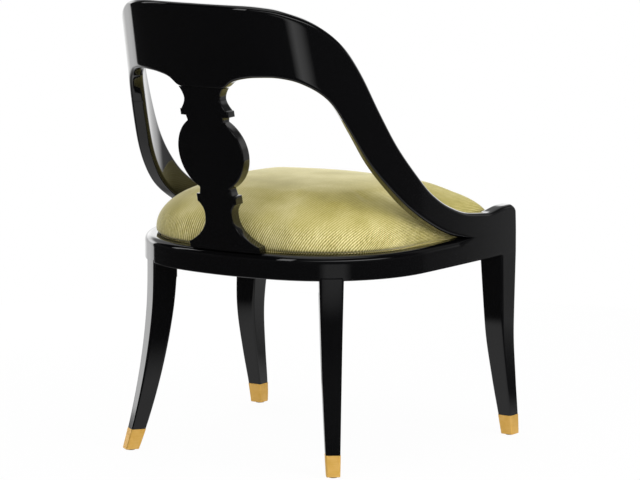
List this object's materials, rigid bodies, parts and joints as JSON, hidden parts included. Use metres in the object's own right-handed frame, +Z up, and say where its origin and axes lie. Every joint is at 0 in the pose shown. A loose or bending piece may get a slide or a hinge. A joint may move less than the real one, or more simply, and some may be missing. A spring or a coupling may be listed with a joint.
{
  "type": "lyre back dining armchair",
  "caption": "Black lacquered lyre back chair: a bent back sweeps down into low arms, on sabre legs in brass shoes, with a drop-in striped velvet seat.",
  "frame": {"origin": "centre of the bounding box on the floor", "axes": "+Z up, -Y to the front of the chair (where the sitter faces), +X to the sitter's left"},
  "size_m": [0.5814, 0.6272, 0.82],
  "materials": {
    "lacquer": "piano-black high-gloss lacquer over beech",
    "brass": "satin brushed, lacquered",
    "velvet": "olive velvet with fine stripes",
    "beech": "raw sanded beech",
    "plywood": "raw birch plywood",
    "foam": "open-cell polyurethane foam",
    "cambric": "black non-woven dust cloth",
    "nylon": "moulded nylon",
    "steel": "zinc plated"
  },
  "bodies": {
    "root": {"arm_left": "lacquer", "arm_right": "lacquer", "back_rail": "lacquer", "corner_block_front_left": "beech", "corner_block_front_right": "beech", "corner_block_rear_left": "beech", "corner_block_rear_right": "beech", "crest_rail": "lacquer", "dowel_arm_front_left": "beech", "dowel_arm_front_right": "beech", "dowel_arm_lower_left": "beech", "dowel_arm_lower_right": "beech", "dowel_arm_rest_left": "beech", "dowel_arm_rest_right": "beech", "dowel_arm_upper_left": "beech", "dowel_arm_upper_right": "beech", "dowel_front_rail_left": "beech", "dowel_front_rail_right": "beech", "dowel_rail_front_left": "beech", "dowel_rail_front_right": "beech", "dowel_rail_rear_left": "beech", "dowel_rail_rear_right": "beech", "dowel_splat_foot_left": "beech", "dowel_splat_foot_right": "beech", "dowel_splat_head_left": "beech", "dowel_splat_head_right": "beech", "dust_cover": "cambric", "front_leg_left": "lacquer", "front_leg_right": "lacquer", "front_rail": "lacquer", "glide_front_left": "nylon", "glide_front_right": "nylon", "glide_rear_left": "nylon", "glide_rear_right": "nylon", "rear_leg_left": "lacquer", "rear_leg_right": "lacquer", "screw_leg_front_left": "steel", "screw_leg_front_right": "steel", "screw_leg_rear_left": "steel", "screw_leg_rear_right": "steel", "screw_seat_front_left": "steel", "screw_seat_front_right": "steel", "screw_seat_rear_left": "steel", "screw_seat_rear_right": "steel", "seat_board": "plywood", "seat_cover": "velvet", "seat_foam": "foam", "shoe_front_left": "brass", "shoe_front_right": "brass", "shoe_rear_left": "brass", "shoe_rear_right": "brass", "side_rail_left": "lacquer", "side_rail_right": "lacquer", "splat": "lacquer"}
  },
  "joints": []
}
